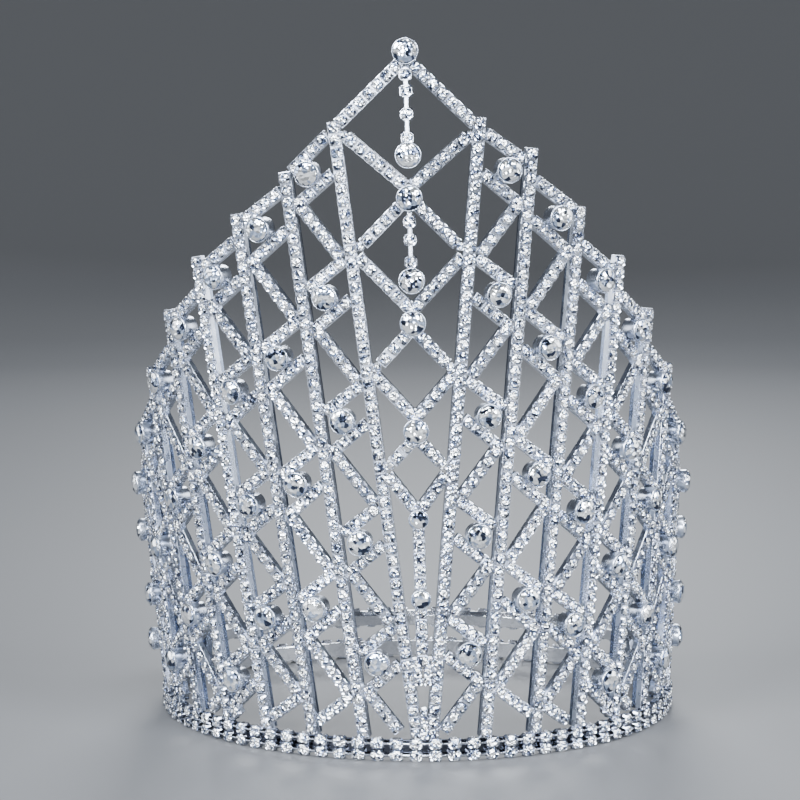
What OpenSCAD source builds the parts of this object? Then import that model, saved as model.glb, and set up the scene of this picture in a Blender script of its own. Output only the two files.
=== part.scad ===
// Tall pageant crown of soldered stone chain.
// A round band stands on the table, straight staves rise from it and fan out, zigzag strips
// with round stones join each stave to the next, and an open gore with a peak fills the front.
// Millimetres, +Z up, the front faces -Y.

/* [Base band] */
// Radius of the round front half, to the inner face of the band's strip
band_r = 74; // [66:1:90]
// Depth of the flattened back half, from the widest line to the inner face of the strip
back_depth = 57; // [55:1:64]
// Radius of the two round corners between the sides and the flat back
corner_r = 48; // [40:1:53]
// Thickness of the strips of the band and of the back rail
strip_t = 1; // [0.8:0.1:1.4]
// Height of the band's strip
strip_h = 4.8; // [3.6:0.1:5.4]
// Height of the strip's lower edge above the table
strip_lift = 0.8; // [0.4:0.1:1]
// Width of one pair of band cups
unit_w = 3.7; // [3:0.1:4.4]
// Height of one pair of band cups
unit_h = 6.4; // [6.4:0.1:8]
// Depth of the band cups, outward from the strip
unit_d = 2.6; // [2:0.1:3.2]
// Wanted distance from one pair of cups to the next
unit_pitch = 5.05; // [4.8:0.05:6.2]
// Height of the two wires that join the band cups
wire_h = 0.7; // [0.5:0.1:1]
// Thickness of the two wires
wire_t = 0.6; // [0.4:0.1:1]
// How far soldered pieces of one sub-part sink into each other
solder = 0.3; // [0.2:0.05:0.5]

/* [Back rail] */
// Height of the rail's lower edge above the table
rail_z = 10.7; // [8:0.1:14]
// Height of the rail's upright face
rail_h = 3.3; // [2.4:0.1:4.4]
// Height of the lip that leans outward above the upright face
lip_h = 1.5; // [1:0.1:2]
// How far the lip leans outward
lip_out = 0.8; // [0.4:0.1:1.2]
// Width of the rail cups
rail_cup_w = 2.8; // [2.2:0.1:3.4]
// How far the rail cups stand above and below the rail
rail_cup_over = 0.7; // [0.4:0.1:1]

/* [Wall] */
// Height of the top stone's centre above the table
apex_h = 190; // [160:1:220]
// How far the wall leans outward for each millimetre of height
flare = 0.067; // [0.04:0.001:0.08]
// How far the crown leans to its left for each millimetre of height
lean = 0.032; // [0:0.001:0.04]
// Angle from the middle to the first stave, at the table
stave_first = 1; // [1:0.05:1.4]
// Angle between neighbouring staves
stave_step = 11.1; // [10.5:0.1:12]
// How many degrees a stave turns away from the middle for each millimetre of height
fan = 0.063; // [0.058:0.001:0.07]
// The same for the first stave on each side
first_fan = 0.0685; // [0.063:0.0005:0.075]

/* [Stone chain] */
// Width of the stone chain
chain_w = 3.3; // [2.8:0.1:3.4]
// Depth of the stone chain, outward from its back
chain_d = 2.6; // [2:0.1:3.2]
// Width of the smooth bar behind each stave
spine_w = 3; // [2:0.1:3.3]
// Depth of the smooth bar behind each stave
spine_d = 1.3; // [0.8:0.1:2]
// Gap between pieces that meet
gap = 0.15; // [0.1:0.01:0.25]

/* [Round stones] */
// Diameter of the large round stones
stone_d = 6; // [5.4:0.1:6.4]
// Diameter of the two small round stones above the foot
small_stone_d = 4.6; // [4:0.1:5.2]
// Depth of the large stones' cups
cup_depth = 5; // [4.4:0.1:6]
// Depth of the small stones' cups
small_cup_depth = 4; // [3.6:0.1:4.6]
// Wall of a cup at its rim
cup_wall = 0.3; // [0.25:0.05:0.5]
// Clearance between a stone and the rim of its cup
stone_play = 0.15; // [0.1:0.01:0.2]
// Sides of a cut stone
stone_sides = 16; // [12:2:20]

/* [Drops] */
// Width of the square cups of a drop chain
drop_cup_w = 3.2; // [2.6:0.1:3.6]
// Depth of the drops' cups
drop_depth = 3.6; // [3.4:0.1:4.4]
// Width of the links between the square cups
link_w = 1.3; // [0.9:0.1:1.8]
// Thickness of the links
link_t = 0.9; // [0.6:0.1:1.2]

/* [Hidden] */
$fn = 48;
RIGHT = 1;
LEFT = -1;

// Staves from the middle to the back on one side, heights as shares of apex_h:
// [tip, upper end of the column's first strip, its lower end, height of one repeat]
// The last stave has no column behind it.
LEFT_WALL = [
    [0.905, 0.895, 0.829, 0.173],
    [0.837, 0.816, 0.763, 0.179],
    [0.779, 0.746, 0.696, 0.163],
    [0.718, 0.671, 0.619, 0.171],
    [0.639, 0.588, 0.535, 0.172],
    [0.551, 0.503, 0.452, 0.171],
    [0.463, 0.418, 0.368, 0.171],
    [0.376, 0.333, 0.284, 0.171],
    [0.289, 0.248, 0.199, 0.171],
    [0.204, 0.164, 0.115, 0.171],
    [0.121, 0, 0, 0]];
RIGHT_WALL = [
    [0.911, 0.895, 0.847, 0.170],
    [0.870, 0.831, 0.779, 0.180],
    [0.789, 0.740, 0.690, 0.165],
    [0.719, 0.666, 0.617, 0.171],
    [0.640, 0.584, 0.535, 0.172],
    [0.555, 0.501, 0.452, 0.171],
    [0.463, 0.417, 0.368, 0.171],
    [0.376, 0.333, 0.284, 0.171],
    [0.289, 0.248, 0.199, 0.171],
    [0.204, 0.164, 0.115, 0.171],
    [0.121, 0, 0, 0]];
TIP = 0;
TOP_IN = 1;
TOP_OUT = 2;
REPEAT = 3;

// How far a falling and a returning strip drop on their way to the outer stave, as shares of
// the repeat
FALL_OUT = 0.31;
RETURN_OUT = 0.34;
// How far the long strip between them reaches past their ends, drawn on to the staves' middle
// lines, as shares of the repeat
LONG_IN = 0.13;
LONG_OUT = 0.175;
// Place of a round stone across its column, from the inner stave
STONE_ACROSS = 0.53;

// The gore's crossings, heights as shares of apex_h: [upper limbs on the first stave, upper
// limbs in the middle, round stone, lower limbs in the middle, lower limbs on the first stave]
CROSSES = [
    [0.899, 0.8145, 0.802, 0.802, 0.721],
    [0.732, 0.647, 0.6305, 0.6205, 0.552],
    [0.569, 0.496, 0.4795, 0.468, 0.415]];
// Limbs of the peak and of the stem, heights as shares of apex_h: [middle, on the first stave]
PEAK = [0.9895, 0.896];
STEM = [0.362, 0.430];
// Limbs that come down to the first stave and limbs that rise to it, from the top down
FALLING = concat([PEAK], [for (c = CROSSES) [c[3], c[4]]]);
RISING = concat([for (c = CROSSES) [c[1], c[0]]], [STEM]);
STEM_STONES = [0.354, 0.2395];
TIE = 0.13;
// Drops, heights as shares of apex_h: [stone they hang from, square cups, drop stone]
DROPS = [
    [1, [0.968, 0.9455, 0.9145, 0.882], 0.8585],
    [0.802, [0.768, 0.7435, 0.713], 0.6875]];

// Reference line of the wall: a half circle in front, two corner arcs and a flat arc behind
corner_x = band_r - corner_r;
corner_rise = back_depth - corner_r;
back_shift = (corner_x^2 - corner_rise^2) / (2 * corner_rise);
back_r = back_depth + back_shift;
corner_sweep = 90 - atan2(corner_x, back_shift);
corner_turn = 90 + corner_sweep;
back_sweep = 2 * (90 - corner_sweep);
corner_end = 90 + corner_sweep * corner_r / band_r;
path_half = PI / 180 * (90 * band_r + corner_sweep * corner_r + back_sweep / 2 * back_r);
unit_count = 2 * round(path_half / unit_pitch);
half_angle = path_half / band_r * 180 / PI;
unit_step = 2 * half_angle / unit_count;

// The chain's back, outward from the reference line, so that the chain's foot stands over
// the band's strip and cups
chain_in = strip_t - solder - (flare + lean) * unit_h - gap;
side_cut = chain_w / 2 + gap;
middle_cut = -solder;
end_step = 0.03;
elbow_cut = 0.8;
cup_r = stone_d / 2 + stone_play + cup_wall;
// Height from a falling strip to the returning strip below it, so that the cup between them
// is soldered to both
pair_drop = 2 * cup_r + chain_w;
crown_share = 0.32;
table_share = 0.58;
culet_share = 0.92;
girdle_share = 0.12;
seat_floor = 0.6;
rim_land = 0.2;
span = 4 * band_r;
rail_overlap = 0.05;
rail_top = rail_z + rail_h + lip_h;
rail_start = stave_angle(len(LEFT_WALL), rail_top) + (side_cut + gap) / band_r * 180 / PI;
stone_rise = cup_depth + crown_share * stone_d / 2;

// Centre of the bounding box, so that the origin lies under it
widest = [for (k = [1 : len(RIGHT_WALL) - 1], z = column_stones(RIGHT, k))
    stone_tip(RIGHT, k, z).x];
widest_left = [for (k = [1 : len(LEFT_WALL) - 1], z = column_stones(LEFT, k))
    stone_tip(LEFT, k, z).x];
front_y = -(band_r + chain_in + flare * apex_h + stone_rise);
back_y = back_depth + strip_t + unit_d - solder;
rail_y = back_y + flare * rail_z;
origin = [(max(widest) + min(widest_left)) / 2, (front_y + max(back_y, rail_y)) / 2, 0];

// Directions and places on the wall

function unit(v) = v / norm(v);

// The way the wall faces, in degrees from the front, at an angle along the reference line
function wall_turn(angle) =
    angle <= 90 ? angle
    : angle <= corner_end ? 90 + (angle - 90) * band_r / corner_r
    : corner_turn + (angle - corner_end) * band_r / back_r;

// Centre and radius of the arc that an angle along the reference line lies on
function wall_arc(angle) =
    angle <= 90 ? [[0, 0], band_r]
    : angle <= corner_end ? [[corner_x, 0], corner_r]
    : [[0, -back_shift], back_r];

// An angle counted on past the middle of the back, as one on the left side
function wrapped(angle) = angle > half_angle ? angle - 2 * half_angle : angle;

function out_dir(angle) =
    let (turn = wall_turn(abs(angle)), side = angle < 0 ? LEFT : RIGHT)
    [side * sin(turn), -cos(turn), 0];

// A point of the wall before the frame is centred: angle, distance outward, height
function wall_point(angle, out, z) =
    let (arc = wall_arc(abs(angle)),
         turn = wall_turn(abs(angle)),
         side = angle < 0 ? LEFT : RIGHT,
         reach = arc[1] + out + flare * z)
    [side * (arc[0].x + reach * sin(turn)) - lean * z, arc[0].y - reach * cos(turn), z];

function wall_rows(side) = side == LEFT ? LEFT_WALL : RIGHT_WALL;

// Stave 0 is the middle line of the gore
function stave_angle(k, z) =
    k == 0 ? 0 : stave_first + stave_step * (k - 1) + (k == 1 ? first_fan : fan) * z;
function stave_tip(side, k) = k == 0 ? apex_h : apex_h * wall_rows(side)[k - 1][TIP];
function stave_end(side, k, z) = wall_point(side * stave_angle(k, z), chain_in, z);
function stave_dir(side, k) =
    unit(stave_end(side, k, stave_tip(side, k)) - stave_end(side, k, 0));
function stave_at(side, k, z) =
    let (dir = stave_dir(side, k)) stave_end(side, k, 0) + dir * z / dir.z;

// Axes on the flat panel between two staves: along the wall, up the wall and outward
function panel_axes(side, k, z) =
    let (along = unit(side * (stave_at(side, k + 1, z) - stave_at(side, k, z))),
         out = unit(cross(along, stave_dir(side, k) + stave_dir(side, k + 1))))
    [along, cross(out, along), out];

// Axes on a stave: across it, up it and outward
function stave_axes(side, k) =
    let (up = stave_dir(side, k),
         along = unit(cross(up, out_dir(side * stave_angle(k, stave_tip(side, k) / 2)))))
    [along, up, cross(along, up)];

// Axes on the middle line, for the cups of the gore
function middle_axes() =
    let (up = stave_dir(RIGHT, 0), along = unit(cross(up, [0, -1, 0])))
    [along, up, cross(along, up)];

// Axes of a drop, which hangs without leaning outward
function drop_axes() = let (up = unit([-lean, 0, 1])) [cross(up, [0, -1, 0]), up, [0, -1, 0]];

function flat_point(p, origin_3d, axes) = [(p - origin_3d) * axes[0], (p - origin_3d) * axes[1]];
function flat_dir(v, axes) = unit([v * axes[0], v * axes[1]]);
function turned(v) = [-v.y, v.x];
function area(a, b) = a.x * b.y - a.y * b.x;

// Outline of a strip between two lines, each end cut parallel to its line and clear of it
function strip_outline(p, q, line_p, line_q, cut_p, cut_q, width) =
    let (run = unit(q - p),
         wide = turned(run),
         near = function (h) (sign(area(line_p, run)) * cut_p - h * area(line_p, wide))
             / area(line_p, run),
         far = function (h) (-sign(area(line_q, run)) * cut_q - h * area(line_q, wide))
             / area(line_q, run),
         h = width / 2)
    [p + wide * h + run * near(h), q + wide * h + run * far(h),
     q - wide * h + run * far(-h), p - wide * h + run * near(-h)];

// Height of each repeat's inner start in a column
function column_starts(side, k) =
    let (row = wall_rows(side)[k - 1])
    [for (n = [0 : floor((row[TOP_IN] - (unit_h + chain_w) / apex_h) / row[REPEAT])])
        apex_h * (row[TOP_IN] - n * row[REPEAT])];

// How far a falling strip drops from the inner to the outer stave, in the column's repeat n
function strip_fall(side, k, n) =
    let (row = wall_rows(side)[k - 1])
    apex_h * (n == 0 ? row[TOP_IN] - row[TOP_OUT] : FALL_OUT * row[REPEAT]);

// Heights of a column's round stones, midway between a falling and a returning strip
function column_stones(side, k) =
    let (starts = column_starts(side, k),
         return_at = pair_drop
             + STONE_ACROSS * RETURN_OUT * apex_h * wall_rows(side)[k - 1][REPEAT])
    [for (n = [0 : len(starts) - 1])
        let (fall_at = STONE_ACROSS * strip_fall(side, k, n),
             z = starts[n] - (fall_at + return_at) / 2)
        if (z > unit_h + 2 * cup_r) z];

function stone_place(side, k, z) =
    stave_at(side, k, z) * (1 - STONE_ACROSS) + stave_at(side, k + 1, z) * STONE_ACROSS;
function stone_tip(side, k, z) = stone_place(side, k, z) + panel_axes(side, k, z)[2] * stone_rise;

// Helpers that draw

module on_axes(place, axes) {
    p = place - origin;
    multmatrix([
        [axes[0].x, axes[1].x, axes[2].x, p.x],
        [axes[0].y, axes[1].y, axes[2].y, p.y],
        [axes[0].z, axes[1].z, axes[2].z, p.z],
        [0, 0, 0, 1]]) children();
}

// Cuts its children off below a height
module above(z) {
    difference() {
        union() children();
        translate([-span, -span, -span]) cube([2 * span, 2 * span, span + z]);
    }
}

// Strips on one flat panel: [height on the inner stave, height on the outer stave, how much
// further than the side gap the strip ends from the inner stave, and from the outer one]
module panel_strips(side, k, strips) {
    mid = (strips[0][0] + strips[len(strips) - 1][1]) / 2;
    axes = panel_axes(side, k, mid);
    place = stave_at(side, k, mid);
    line_in = flat_dir(stave_dir(side, k), axes);
    line_out = flat_dir(stave_dir(side, k + 1), axes);
    on_axes(place, axes) linear_extrude(chain_d) for (s = strips) polygon(strip_outline(
        flat_point(stave_at(side, k, s[0]), place, axes),
        flat_point(stave_at(side, k + 1, s[1]), place, axes),
        line_in, line_out, (k == 0 ? middle_cut : side_cut) + s[2], side_cut + s[3], chain_w));
}

// Adds round cups to its children, each with a conical seat: [place, axes, stone, depth]
module with_cups(cups) {
    difference() {
        union() {
            children();
            for (c = cups) on_axes(c[0], c[1])
                cylinder(h = c[3], r = c[2] / 2 + stone_play + cup_wall);
        }
        for (c = cups) on_axes(c[0], c[1]) translate([0, 0, seat_floor]) {
            rim_r = c[2] / 2 + stone_play;
            cylinder(h = c[3] - seat_floor, r1 = rim_r * (1 - culet_share), r2 = rim_r);
            translate([0, 0, c[3] - seat_floor - rim_land]) cylinder(h = c[3], r = rim_r);
        }
    }
}

// Round cut stone: an eight-sided table, crown facets, a thin girdle and a pointed back
module cut_stone(d, depth) {
    r = d / 2;
    half = stone_sides / 2;
    crown = crown_share * r;
    girdle = girdle_share * r;
    culet = (depth - seat_floor) * culet_share - stone_play;
    ring = function (radius, z, n, phase)
        [for (i = [0 : n - 1]) [radius * cos((i + phase) * 360 / n),
            radius * sin((i + phase) * 360 / n), z]];
    n = stone_sides;
    points = concat(
        ring(table_share * r, crown, half, 0.5),
        ring(r, girdle, n, 0.5),
        ring(r, 0, n, 0.5),
        [[0, 0, -culet]]);
    rim = half;
    low = half + n;
    culet_i = low + n;
    faces = concat(
        [[for (i = [half - 1 : -1 : 0]) i]],
        [for (i = [0 : half - 1]) [i, rim + 2 * i + 1, rim + 2 * i]],
        [for (i = [0 : half - 1]) [i, rim + (2 * i + 2) % n, rim + 2 * i + 1]],
        [for (i = [0 : half - 1]) [i, (i + 1) % half, rim + (2 * i + 2) % n]],
        [for (i = [0 : n - 1]) [rim + i, rim + (i + 1) % n, low + (i + 1) % n, low + i]],
        [for (i = [0 : n - 1]) [low + i, low + (i + 1) % n, culet_i]]);
    translate([0, 0, depth]) polyhedron(points, faces);
}

// Flat outline inside the reference line moved outward, with a corner between each two units
module band_outline(out) {
    polygon([for (i = [0 : unit_count - 1])
        let (p = wall_point(wrapped((i + 1) * unit_step), out, 0) - origin) [p.x, p.y]]);
}

module band_ring(out, thick, z, height) {
    translate([0, 0, z]) linear_extrude(height) difference() {
        band_outline(out + thick);
        band_outline(out);
    }
}

// Places its children upright on the wall: x along the wall, y outward
module upright(angle, out, z) {
    front = out_dir(angle);
    place = wall_point(angle, out, z);
    on_axes(place, [[front.y, -front.x, 0], front, [0, 0, 1]]) children();
}

// Sub-parts

module base_band() {
    row_h = unit_h / 2;
    color("silver") {
        band_ring(0, strip_t, strip_lift, strip_h);
        for (row = [0, 1])
            band_ring(strip_t + (unit_d - wire_t) / 2, wire_t, row_h * (row + 0.5) - wire_h / 2,
                wire_h);
        for (i = [0 : unit_count - 1]) upright(wrapped((i + 0.5) * unit_step), strip_t, 0)
            translate([-unit_w / 2, -solder, 0]) cube([unit_w, unit_d, unit_h]);
    }
}

module back_rail() {
    run = 2 * (half_angle - rail_start);
    count = round(run / unit_step);
    step = run / count;
    length = step * band_r * PI / 180 * (1 + rail_overlap);
    cup_h = rail_h + lip_h + 2 * rail_cup_over;
    color("silver") for (i = [0 : count - 1])
        upright(wrapped(rail_start + (i + 0.5) * step), 0, rail_z) {
            translate([length / 2, 0, 0]) rotate([90, 0, -90]) linear_extrude(length) polygon([
                [0, 0], [-strip_t, 0], [-strip_t, rail_h], [-strip_t - lip_out, rail_h + lip_h],
                [-lip_out, rail_h + lip_h], [0, rail_h]]);
            translate([-rail_cup_w / 2, strip_t - solder, -rail_cup_over])
                cube([rail_cup_w, unit_d, cup_h]);
        }
}

module stave(side, k) {
    axes = stave_axes(side, k);
    foot = stave_end(side, k, 0);
    length = norm(stave_end(side, k, stave_tip(side, k)) - foot);
    color("gainsboro") above(unit_h + gap) on_axes(foot, axes) {
        translate([-chain_w / 2, 0, 0]) cube([chain_w, length, chain_d]);
        translate([-spine_w / 2, 0, -spine_d])
            cube([spine_w, length - chain_w / 2, spine_d + solder]);
    }
}

module zigzag(side, k) {
    row = wall_rows(side)[k - 1];
    starts = column_starts(side, k);
    stones = column_stones(side, k);
    drop = row[REPEAT] * apex_h;
    cups = [for (z = stones)
        [stone_place(side, k, z), panel_axes(side, k, z), stone_d, cup_depth]];
    color("gainsboro") above(unit_h + gap) with_cups(cups) {
        panel_strips(side, k, [[starts[0], row[TOP_OUT] * apex_h, 0, 0]]);
        for (n = [0 : len(stones) - 1]) {
            next = starts[n] - drop;
            back = starts[n] - pair_drop;
            low = back - RETURN_OUT * drop;
            panel_strips(side, k, concat(
                [[back, low, 0, 0]],
                [[next - LONG_IN * drop, low + LONG_OUT * drop, elbow_cut, elbow_cut]],
                n < len(starts) - 1 ? [[next, next - FALL_OUT * drop, 0, 0]] : []));
        }
    }
}

function middle_cup(z, d, depth) = [stave_at(RIGHT, 0, z), middle_axes(), d, depth];

// How much further than usual one of two limbs that meet beside a first stave ends from it,
// so that it is clear of the other
function limb_cut(n) =
    let (fall = FALLING[n],
         rise = RISING[n],
         z = apex_h * fall[1],
         across = norm(stave_at(RIGHT, 1, z) - stave_at(RIGHT, 0, z)) / apex_h,
         fall_slope = (fall[0] - fall[1]) / across,
         rise_slope = (rise[1] - rise[0]) / across,
         tall = chain_w / 2 * (norm([1, fall_slope]) + norm([1, rise_slope])) + 2 * gap)
    (tall - z + apex_h * rise[1]) / (fall_slope + rise_slope) - side_cut;

// Room for the first square cup of a drop, up to the round cup that it hangs from
module drop_room(drop) {
    low = apex_h * (drop[1][0] - drop[0]) - drop_cup_w / 2 - gap;
    wide = drop_cup_w + 2 * gap;
    on_axes(drop_top(drop), drop_axes())
        translate([-wide / 2, low, -chain_d]) cube([wide, solder - cup_r - low, 3 * chain_d]);
}

module peak() {
    color("gainsboro") with_cups([middle_cup(apex_h, stone_d, cup_depth)]) difference() {
        for (side = [LEFT, RIGHT])
            panel_strips(side, 0, [[apex_h * PEAK[0], apex_h * PEAK[1], 0, 0]]);
        drop_room(DROPS[0]);
    }
}

// The peak runs on to the first staves, so the first crossing's upper limbs give way to it;
// below that, the lower limbs give way to the next piece's upper ones
module cross_piece(n) {
    c = CROSSES[n - 1];
    color("gainsboro") with_cups([middle_cup(apex_h * c[2], stone_d, cup_depth)])
        for (side = [LEFT, RIGHT]) panel_strips(side, 0, [
            [apex_h * c[1], apex_h * c[0], 0, n == 1 ? limb_cut(0) : 0],
            [apex_h * c[3], apex_h * c[4], end_step, limb_cut(n)]]);
}

module stem() {
    top = apex_h * STEM_STONES[0];
    tie_z = apex_h * TIE;
    tie_w = norm(stave_at(RIGHT, 1, tie_z) - stave_at(LEFT, 1, tie_z)) - 2 * side_cut;
    cups = [for (share = STEM_STONES)
        middle_cup(apex_h * share, small_stone_d, small_cup_depth)];
    color("gainsboro") with_cups(cups) {
        for (side = [LEFT, RIGHT]) panel_strips(side, 0, [apex_h * [STEM[0], STEM[1], 0, 0]]);
        on_axes(stave_at(RIGHT, 0, tie_z), middle_axes()) {
            translate([-chain_w / 2, 0, 0]) cube([chain_w, top - tie_z, chain_d]);
            translate([-tie_w / 2, -chain_w / 2, 0]) cube([tie_w, chain_w, chain_d]);
        }
    }
}

// Chain of square cups with a round cup at its end, down from the cup that it hangs from
module drop_chain(drop) {
    from = apex_h * drop[0];
    link_top = -cup_r - flare * cup_depth - gap;
    end = apex_h * drop[2] - from;
    color("gainsboro") with_cups([[drop_end(drop), drop_axes(), stone_d, drop_depth]])
        on_axes(drop_top(drop), drop_axes()) {
            for (share = drop[1])
                translate([-drop_cup_w / 2, apex_h * share - from - drop_cup_w / 2, 0])
                    cube([drop_cup_w, drop_cup_w, chain_d]);
            translate([-link_w / 2, end, chain_d / 4]) cube([link_w, link_top - end, link_t]);
        }
}

function drop_top(drop) = stave_at(RIGHT, 0, apex_h * drop[0]);
function drop_end(drop) = drop_top(drop) + drop_axes()[1] * apex_h * (drop[2] - drop[0]);

module middle_stone(z, d, depth) {
    color("white") on_axes(stave_at(RIGHT, 0, z), middle_axes()) cut_stone(d, depth);
}

module stem_stones() {
    for (share = STEM_STONES) middle_stone(apex_h * share, small_stone_d, small_cup_depth);
}

module drop_stones() {
    color("white") for (drop = DROPS)
        on_axes(drop_end(drop), drop_axes()) cut_stone(stone_d, drop_depth);
}

module column_stone_set(side) {
    color("white") for (k = [1 : len(wall_rows(side)) - 1], z = column_stones(side, k))
        on_axes(stone_place(side, k, z), panel_axes(side, k, z)) cut_stone(stone_d, cup_depth);
}

base_band();
back_rail();
peak();
cross_piece(1);  // cross_1
cross_piece(2);  // cross_2
cross_piece(3);  // cross_3
stem();
drop_chain(DROPS[0]);  // drop_chain_1
drop_chain(DROPS[1]);  // drop_chain_2
for (k = [1 : len(LEFT_WALL)])
    stave(LEFT, k);
for (k = [1 : len(RIGHT_WALL)])
    stave(RIGHT, k);
for (k = [1 : len(LEFT_WALL) - 1])
    zigzag(LEFT, k);
for (k = [1 : len(RIGHT_WALL) - 1])
    zigzag(RIGHT, k);
middle_stone(apex_h, stone_d, cup_depth);  // apex_stone
middle_stone(apex_h * CROSSES[0][2], stone_d, cup_depth);  // cross_stone_1
middle_stone(apex_h * CROSSES[1][2], stone_d, cup_depth);  // cross_stone_2
middle_stone(apex_h * CROSSES[2][2], stone_d, cup_depth);  // cross_stone_3
stem_stones();
drop_stones();
column_stone_set(LEFT);  // stones_left
column_stone_set(RIGHT);  // stones_right
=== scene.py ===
"""Looks of a tall pageant crown of soldered stone chain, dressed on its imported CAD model.

Square cups with small cut stones follow the staves, the zigzags and the gore's strips, deep
round cups hold the large stones, and the band and the back rail carry two rows of cups.
Everything is in metres, in the frame of the CAD model: +Z up, the front faces -Y.
"""

import logging
import math
from dataclasses import dataclass, field
from enum import Enum
from functools import cached_property

import bmesh
import bpy
from mathutils import Matrix, Vector


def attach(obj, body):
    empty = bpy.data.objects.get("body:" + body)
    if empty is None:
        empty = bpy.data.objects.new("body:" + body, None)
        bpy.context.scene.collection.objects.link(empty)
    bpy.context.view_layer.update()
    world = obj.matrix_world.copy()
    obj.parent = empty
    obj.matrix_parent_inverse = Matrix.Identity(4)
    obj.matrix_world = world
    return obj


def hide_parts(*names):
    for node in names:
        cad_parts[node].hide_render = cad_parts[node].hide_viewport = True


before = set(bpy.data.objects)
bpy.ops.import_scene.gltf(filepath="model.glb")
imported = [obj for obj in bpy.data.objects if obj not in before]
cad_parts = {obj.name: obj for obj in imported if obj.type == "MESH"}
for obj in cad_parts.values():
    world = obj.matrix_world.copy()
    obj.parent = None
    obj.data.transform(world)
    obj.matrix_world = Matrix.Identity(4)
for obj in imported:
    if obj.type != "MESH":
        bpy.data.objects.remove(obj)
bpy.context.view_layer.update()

MM = 0.001
MERGE = 1e-6
STONE_MERGE = 1e-3
ON_CUT = 1e-5
ON_AXIS = 1e-9
BODY = "root"
log = logging.getLogger("crown")


class Side(Enum):
    """The crown's two halves, seen by someone who looks at its front."""

    LEFT = -1
    RIGHT = 1

    @property
    def word(self) -> str:
        """Return the side's name as the nodes spell it."""
        return self.name.lower()


class Slot(Enum):
    """The record's material slots."""

    METAL = "silver_metal"
    CRYSTAL = "crystal"


class RoundKind(Enum):
    """The kinds of round cup."""

    LARGE = "large"
    SMALL = "small"
    DROP = "drop"


@dataclass(frozen=True)
class Axes:
    """Three directions at a place: along the wall, up it and outward from it."""

    along: Vector
    up: Vector
    out: Vector

    def at(self, place: Vector) -> Matrix:
        """Return the matrix that stands a shape on these axes.

        Args:
            place: Where the shape's origin goes.

        Returns:
            The shape's place and turn.
        """
        turn = Matrix((self.along, self.up, self.out)).transposed().to_4x4()
        return Matrix.Translation(place) @ turn

    def flat(self, way: Vector) -> Vector:
        """Return a direction as the panel sees it, along and up only."""
        return (self.along * way.dot(self.along) + self.up * way.dot(self.up)).normalized()


@dataclass(frozen=True)
class Row:
    """One stave and the column behind it, heights as shares of the top stone's height."""

    tip: float
    top_in: float
    top_out: float
    repeat: float


LEFT_WALL = (
    Row(0.905, 0.895, 0.829, 0.173),
    Row(0.837, 0.816, 0.763, 0.179),
    Row(0.779, 0.746, 0.696, 0.163),
    Row(0.718, 0.671, 0.619, 0.171),
    Row(0.639, 0.588, 0.535, 0.172),
    Row(0.551, 0.503, 0.452, 0.171),
    Row(0.463, 0.418, 0.368, 0.171),
    Row(0.376, 0.333, 0.284, 0.171),
    Row(0.289, 0.248, 0.199, 0.171),
    Row(0.204, 0.164, 0.115, 0.171),
    Row(0.121, 0, 0, 0),
)
RIGHT_WALL = (
    Row(0.911, 0.895, 0.847, 0.170),
    Row(0.870, 0.831, 0.779, 0.180),
    Row(0.789, 0.740, 0.690, 0.165),
    Row(0.719, 0.666, 0.617, 0.171),
    Row(0.640, 0.584, 0.535, 0.172),
    Row(0.555, 0.501, 0.452, 0.171),
    Row(0.463, 0.417, 0.368, 0.171),
    *LEFT_WALL[7:],
)


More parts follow.
